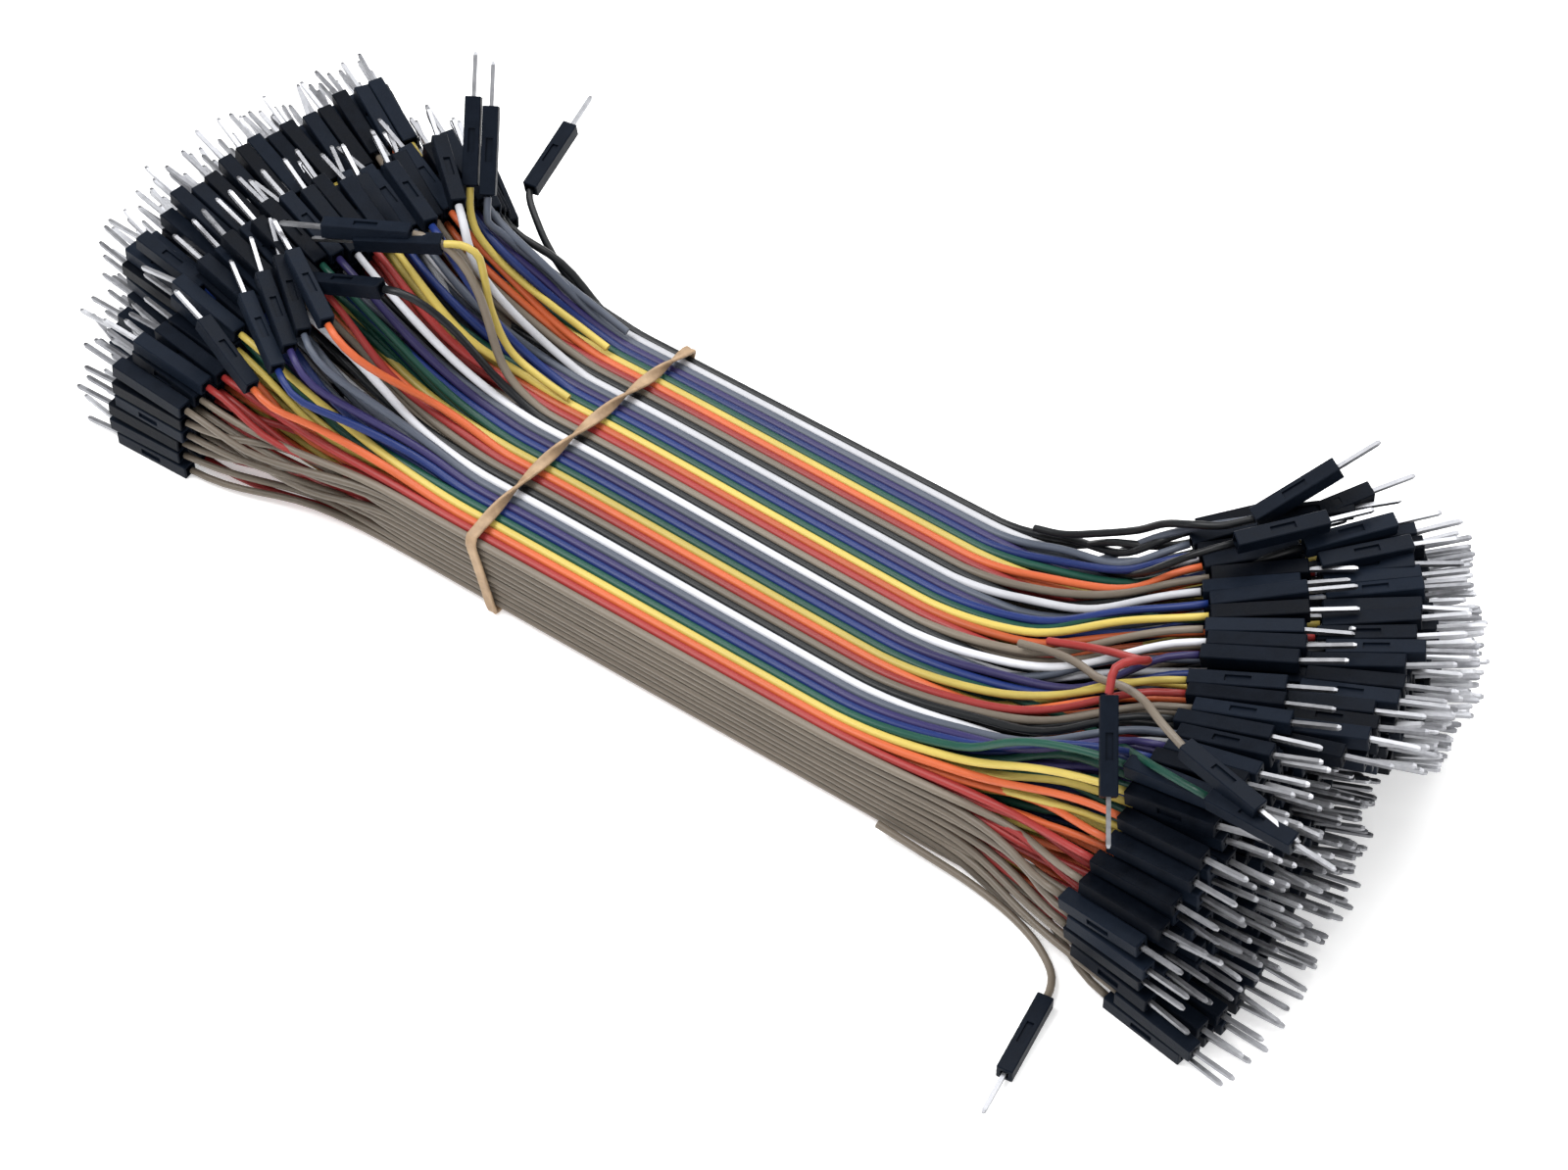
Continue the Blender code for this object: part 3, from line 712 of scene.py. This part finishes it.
def housing_template():
    """A one way housing: a chamfered box with a latch window, a wire mouth and a pin mouth."""
    half = HOUSING_SIDE / 2
    body = template((0.0, -half, -half), (HOUSING_LENGTH, half, half), HOUSING_CHAMFER)
    mesh = bpy.data.meshes.new("housing_body")
    body.to_mesh(mesh)
    body.free()
    target = bpy.data.objects.new("housing_body", mesh)
    bpy.context.scene.collection.objects.link(target)
    window = LATCH_WIDTH / 2
    seat = PIN_SIDE / 2 + CLEARANCE
    mouth = WIRE_MOUTH / 2
    past = CUT_OVERSHOOT
    cuts = (
        ((LATCH_FROM_REAR, -window, half - LATCH_DEPTH),
         (LATCH_FROM_REAR + LATCH_LENGTH, window, half + past)),
        ((HOUSING_LENGTH - PIN_MOUTH_DEPTH, -seat, -seat), (HOUSING_LENGTH + past, seat, seat)),
        ((-past, -mouth, -mouth), (WIRE_MOUTH_DEPTH, mouth, mouth)),
    )
    cutters = []
    for low, high in cuts:
        shape = template(low, high, 0.0)
        data = bpy.data.meshes.new("cutter")
        shape.to_mesh(data)
        shape.free()
        cutter = bpy.data.objects.new("cutter", data)
        bpy.context.scene.collection.objects.link(cutter)
        cut = target.modifiers.new("cut", "BOOLEAN")
        cut.operation = "DIFFERENCE"
        cut.solver = "EXACT"
        cut.object = cutter
        cutters.append(cutter)
    bpy.context.view_layer.update()
    evaluated = target.evaluated_get(bpy.context.evaluated_depsgraph_get())
    made = bpy.data.meshes.new_from_object(evaluated)
    points = np.array([tuple(vert.co) for vert in made.vertices])
    faces = [tuple(face.vertices) for face in made.polygons]
    for obj in cutters + [target]:
        bpy.data.objects.remove(obj)
    return points, faces


def pin_template():
    """A square pin with a tapered tip, from the bottom of its mouth in the housing."""
    half = PIN_SIDE / 2
    start = HOUSING_LENGTH - PIN_MOUTH_DEPTH
    tip = HOUSING_LENGTH + PIN_LENGTH
    rings = [(start, half), (tip - PIN_TAPER, half), (tip, half * PIN_TIP_SHARE)]
    corners = ((-1, -1), (1, -1), (1, 1), (-1, 1))
    points = [(x, y * size, z * size) for x, size in rings for y, z in corners]
    faces = []
    for ring in (0, 4):
        for side in range(4):
            after = (side + 1) % 4
            faces.append((ring + side, ring + after, ring + 4 + after, ring + 4 + side))
    faces += [(3, 2, 1, 0), (8, 9, 10, 11)]
    return np.array(points), faces


def copies(name, shape, places):
    """One mesh with a copy of a template at each place."""
    points, faces = shape
    all_points, all_faces = [], []
    for index, place in enumerate(places):
        matrix = np.array(place)
        all_points.append(points @ matrix[:3, :3].T + matrix[:3, 3])
        start = index * len(points)
        all_faces += [tuple(start + corner for corner in face) for face in faces]
    return mesh_of(name, np.vstack(all_points), all_faces, False)


HOUSING = housing_template()
PIN = pin_template()


def build_heap(fan, groups):
    """The housings and pins of one end, a row at a time."""
    connectors = [connector for group in groups for connector in group]
    for row in range(ROWS):
        in_row = [connector for connector in connectors if connector.row == row]
        places = [connector.matrix for connector in in_row]
        name = f"{fan.name}_row_{row + 1:02d}"
        housings = add_piece(name + "_housings", copies(name + "_housings", HOUSING, places),
                             [housing_finish])
        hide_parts(f"{fan.name}_connectors_{row + 1:02d}")
        pins = copies(name + "_pins", PIN, [connector.pin_matrix for connector in in_row])
        add_piece(name + "_pins", pins, [pin_finish])


# Connectors that lie askew on a heap: cable, wire, rear in millimetres, yaw and pitch in degrees
STRAYS = {
    "right": [(10, 14, (123.0, -20.6, 40.0), -6, 8), (6, 38, (105.4, 30.4, 36.0), 57, 8),
              (7, 37, (101.7, 29.1, 36.6), 42, 2), (5, 39, (102.2, 21.5, 38.8), 50, 3),
              (4, 39, (109.6, 28.9, 35.8), 51, 4), (2, 39, (112.5, 28.4, 34.6), 48, 2)],
    "left": [(10, 20, (-34.1, 2.6, 38.6), -153, -2), (10, 19, (-31.8, -7.5, 36.2), -168, -16),
             (10, 28, (-33.2, 13.0, 37.2), 141, 5), (10, 25, (-34.4, 7.6, 36.4), 156, 4),
             (10, 12, (-36.9, -15.2, 32.2), 152, 12), (10, 7, (-39.7, -17.7, 30.4), 144, 14),
             (10, 6, (-40.4, -20.4, 28.8), 147, 14), (10, 5, (-40.6, -23.4, 26.8), 150, 14),
             (10, 2, (-43.6, -26.4, 23.4), 163, 15)],
}

# Loose wires: name, colour, route points, and the rear and front of the housing, all in
# millimetres from the middle of the band, as in the part's source
LOOSE_WIRES = [
    ("right_loose_wire_1", "red",
     [(84, 1.9, 23.32), (90, 1.9, 26.3), (95, 0.9, 29.6), (99, -1.2, 33.4), (102.4, -3.6, 37.4),
      (104.2, -6.2, 41.5), (103.3, -9.3, 43.7), (102.0, -11.4, 43.3)],
     (103.0, -14.2, 40.9), (109.7, -24.1, 33.6)),
    ("right_loose_wire_2", "brown",
     [(80, 0.6, 21.3), (86, 0.1, 23.95), (91, -1.6, 26.7), (96, -4.6, 30.1), (100, -7.2, 34.4),
      (104, -10.0, 38.6), (108, -12.8, 41.6), (112.0, -15.4, 42.8)],
     (116.8, -17.3, 42.8), (130.5, -20.4, 42.6)),
    ("right_loose_wire_3", "brown",
     [(74, -26.8, 2.6), (82, -26.9, 2.0), (90, -27.1, 1.5), (97, -28.0, 1.2), (102.2, -29.5, 1.1),
      (105.8, -31.3, 1.1), (108.5, -33.4, 1.2), (109.8, -35.6, 1.27)],
     (110.3, -37.7, 1.27), (112.3, -51.6, 1.27)),
    ("right_loose_wire_4", "black",
     [(68, 23.8, 17.15), (73, 23.8, 19.1), (79, 23.9, 23.2), (85, 24.2, 27.6), (89.5, 23.8, 32.4),
      (94.0, 23.4, 35.6), (98.2, 24.8, 36.8)],
     (101.6, 28.2, 37.5), (109.2, 39.1, 44.2)),
    ("left_loose_wire_1", "yellow",
     [(-8, 17.1, 16.55), (-14, 17.1, 18.3), (-20, 16.5, 20.95), (-26, 15.4, 25.1),
      (-31, 14.9, 29.8), (-34.0, 16.6, 32.4)],
     (-35.8, 19.1, 35.0), (-41.1, 27.7, 44.7)),
    ("left_loose_wire_2", "grey",
     [(-8, 22.2, 15.9), (-14, 22.2, 17.85), (-20, 21.4, 20.95), (-26, 19.6, 25.3),
      (-29.6, 18.0, 29.4), (-31.2, 17.3, 31.2)],
     (-32.9, 19.8, 33.96), (-38.2, 28.4, 43.66)),
    ("left_loose_wire_3", "black",
     [(-10, 26.9, 9.0), (-18, 27.2, 11.5), (-25, 28.0, 14.5), (-30, 29.8, 17.0), (-34, 32.2, 18.6),
      (-36.8, 34.3, 19.4)],
     (-38.0, 36.0, 19.9), (-39.9, 49.5, 22.3)),
    ("left_loose_wire_4", "yellow",
     [(-6, 4.4, 17.25), (-12, 4.4, 18.65), (-17.5, 4.5, 21.2), (-21, 5.0, 27.2),
      (-22.4, 5.6, 32.8), (-23.8, 6.1, 36.9), (-26.4, 5.4, 38.2)],
     (-29.1, 4.1, 38.0), (-41.4, -1.9, 36.6)),
]


def build_loose(name, colour, route, rear, front):
    """A loose wire with its housing and pin."""
    rear = Vector(rear) / 1000.0
    heading = (Vector(front) / 1000.0 - rear).normalized()
    seat = rear - heading * CLEARANCE
    points = smooth_points([Vector(point) / 1000.0 for point in route] + [seat], LOOSE_CURVE_STEPS)
    points = evenly(points, round(along(points)[-1] / LOOSE_POINT_SPACING)) + np.array(SHIFT)
    curve = bpy.data.curves.new(name + "_cord", "CURVE")
    curve.dimensions = "3D"
    curve.bevel_depth = WIRE_DIAMETER / 2
    curve.bevel_resolution = 3
    curve.use_fill_caps = True
    spline = curve.splines.new("POLY")
    spline.points.add(len(points) - 1)
    for target, point in zip(spline.points, points):
        target.co = (*point, 1.0)
    spline.use_smooth = True
    cord = add_piece(name + "_cord", curve, [wire_finishes[colour]])
    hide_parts(name)
    place = [Matrix.Translation(rear + SHIFT) @ aimed(heading, 0.0)]
    housing = add_piece(name + "_shell", copies(name + "_shell", HOUSING, place), [housing_finish])
    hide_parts(name + "_housing")
    pin = add_piece(name + "_tip", copies(name + "_tip", PIN, place), [pin_finish])
    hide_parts(name + "_pin")


# Rubber band

def band_route():
    """Middle line of the band round the stack, from the near top corner across the top."""
    half_width = RIBBON_WIDTH / 2 + BAND_GAP + BAND_THICKNESS / 2
    low = BAND_THICKNESS / 2
    high = STACK_TOP + BAND_GAP + BAND_WIDTH / 2
    corner = BAND_CORNER
    points = []
    for share in np.linspace(0.0, 1.0, BAND_TOP_POINTS):
        y = (2 * share - 1) * (half_width - corner)
        points.append((y, high + crown(share)))
    down = np.linspace(high - 2 * corner, low + corner, BAND_SIDE_POINTS)
    back = np.linspace(half_width - corner, corner - half_width, BAND_UNDER_POINTS)
    up = np.linspace(low + corner, high - 2 * corner, BAND_SIDE_POINTS)
    points += [(half_width, z) for z in down]
    points += [(y, low) for y in back]
    points += [(-half_width, z) for z in up]
    middle = STACK_TOP / 2
    route = []
    for y, z in points:
        route.append((2 * BAND_SLANT * y / RIBBON_WIDTH * (z - middle) / middle, y, z))
    return np.array(route)


def build_band():
    """The band, a creased strip that is twisted by half turns where it crosses the top."""
    route = band_route()
    closed = np.vstack([route, route[:1]])
    line = evenly(smooth_points(closed, CURVE_STEPS), BAND_STATIONS + 1)[:-1]
    heading = unit(np.roll(line, -1, axis=0) - np.roll(line, 1, axis=0))
    outward = unit(np.cross(heading, (1.0, 0.0, 0.0)))
    wide = np.cross(outward, heading)
    top = line[:, 2] > STACK_TOP
    done = np.where(top, line[:, 1] / RIBBON_WIDTH + 0.5, 0.0)
    twist = np.interp(done, BAND_TURNS_AT, np.arange(len(BAND_TURNS_AT)) * math.pi)
    turns = np.arange(BAND_SIDES) * 2 * math.pi / BAND_SIDES
    points, faces = [], []
    for index in range(len(line)):
        turned = twist[index]
        across_strip = wide[index] * math.cos(turned) + outward[index] * math.sin(turned)
        through = np.cross(across_strip, heading[index])
        for turn in turns:
            flat = math.copysign(abs(math.cos(turn)) ** BAND_SQUARENESS, math.cos(turn))
            crease = 1.0 - BAND_CREASE * (1.0 - abs(flat)) ** 2
            thick = math.copysign(abs(math.sin(turn)) ** BAND_SQUARENESS, math.sin(turn)) * crease
            points.append(line[index] + across_strip * flat * BAND_WIDTH / 2
                          + through * thick * BAND_THICKNESS / 2)
    for index in range(len(line)):
        here = index * BAND_SIDES
        there = (index + 1) % len(line) * BAND_SIDES
        for side in range(BAND_SIDES):
            beside = (side + 1) % BAND_SIDES
            faces.append((here + side, there + side, there + beside, here + beside))
    mesh = mesh_of("band_strip", np.array(points) + np.array(SHIFT), faces, True)
    band = add_piece("band_strip", mesh, [rubber_finish])
    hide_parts("rubber_band")


# Studio

def add_studio():
    """A pale floor, a plain white world and three soft lamps."""
    half = FLOOR_HALF
    shape = template((-half, -half, -FLOOR_THICKNESS), (half, half, 0.0), 0.0)
    data = bpy.data.meshes.new("floor")
    shape.to_mesh(data)
    shape.free()
    floor = bpy.data.objects.new("floor", data)
    bpy.context.scene.collection.objects.link(floor)
    material = bpy.data.materials.new("floor_paper")
    material.use_nodes = True
    shader = material.node_tree.nodes["Principled BSDF"]
    shader.inputs["Base Color"].default_value = (FLOOR_SHADE, FLOOR_SHADE, FLOOR_SHADE, 1.0)
    shader.inputs["Roughness"].default_value = 0.9
    shader.inputs["Specular IOR Level"].default_value = 0.0
    shader.inputs["Emission Color"].default_value = (1.0, 1.0, 1.0, 1.0)
    shader.inputs["Emission Strength"].default_value = FLOOR_GLOW
    data.materials.append(material)
    world = bpy.data.worlds.new("studio")
    bpy.context.scene.world = world
    world.use_nodes = True
    tree = world.node_tree
    tree.nodes["Background"].inputs["Color"].default_value = (1.0, 1.0, 1.0, 1.0)
    rays = add_node(tree, "ShaderNodeLightPath")
    level = add_node(tree, "ShaderNodeMapRange")
    level.inputs["To Min"].default_value = WORLD_LEVEL
    level.inputs["To Max"].default_value = WORLD_IN_GLOSS
    tree.links.new(rays.outputs["Is Glossy Ray"], level.inputs["Value"])
    tree.links.new(level.outputs["Result"], tree.nodes["Background"].inputs["Strength"])
    for name, place, size, power in LAMPS:
        light = bpy.data.lights.new(name, "AREA")
        light.size = size
        light.energy = power
        lamp = bpy.data.objects.new(name, light)
        bpy.context.scene.collection.objects.link(lamp)
        lamp.location = place
        aim = Vector(LAMP_AIM) - lamp.location
        lamp.rotation_euler = aim.to_track_quat("-Z", "Y").to_euler()


add_camera()
for loose in LOOSE_WIRES:
    build_loose(*loose)
ends = {}
for fan in (LEFT_FAN, RIGHT_FAN):
    draws = np.random.RandomState(fan.seed)
    ends[fan.side] = [[heaped(fan, slot, draws) for slot in group] for group in shared_out(fan)]
    for cable, wire, rear, yaw, pitch in STRAYS[fan.name]:
        ends[fan.side][cable - 1][wire] = stray(fan, rear, yaw, pitch, draws)
    build_heap(fan, ends[fan.side])
draws = np.random.RandomState(5)
for layer in range(RIBBONS):
    build_cable(layer, ends, draws)
build_band()
add_studio()
bpy.context.scene.view_settings.view_transform = "Standard"
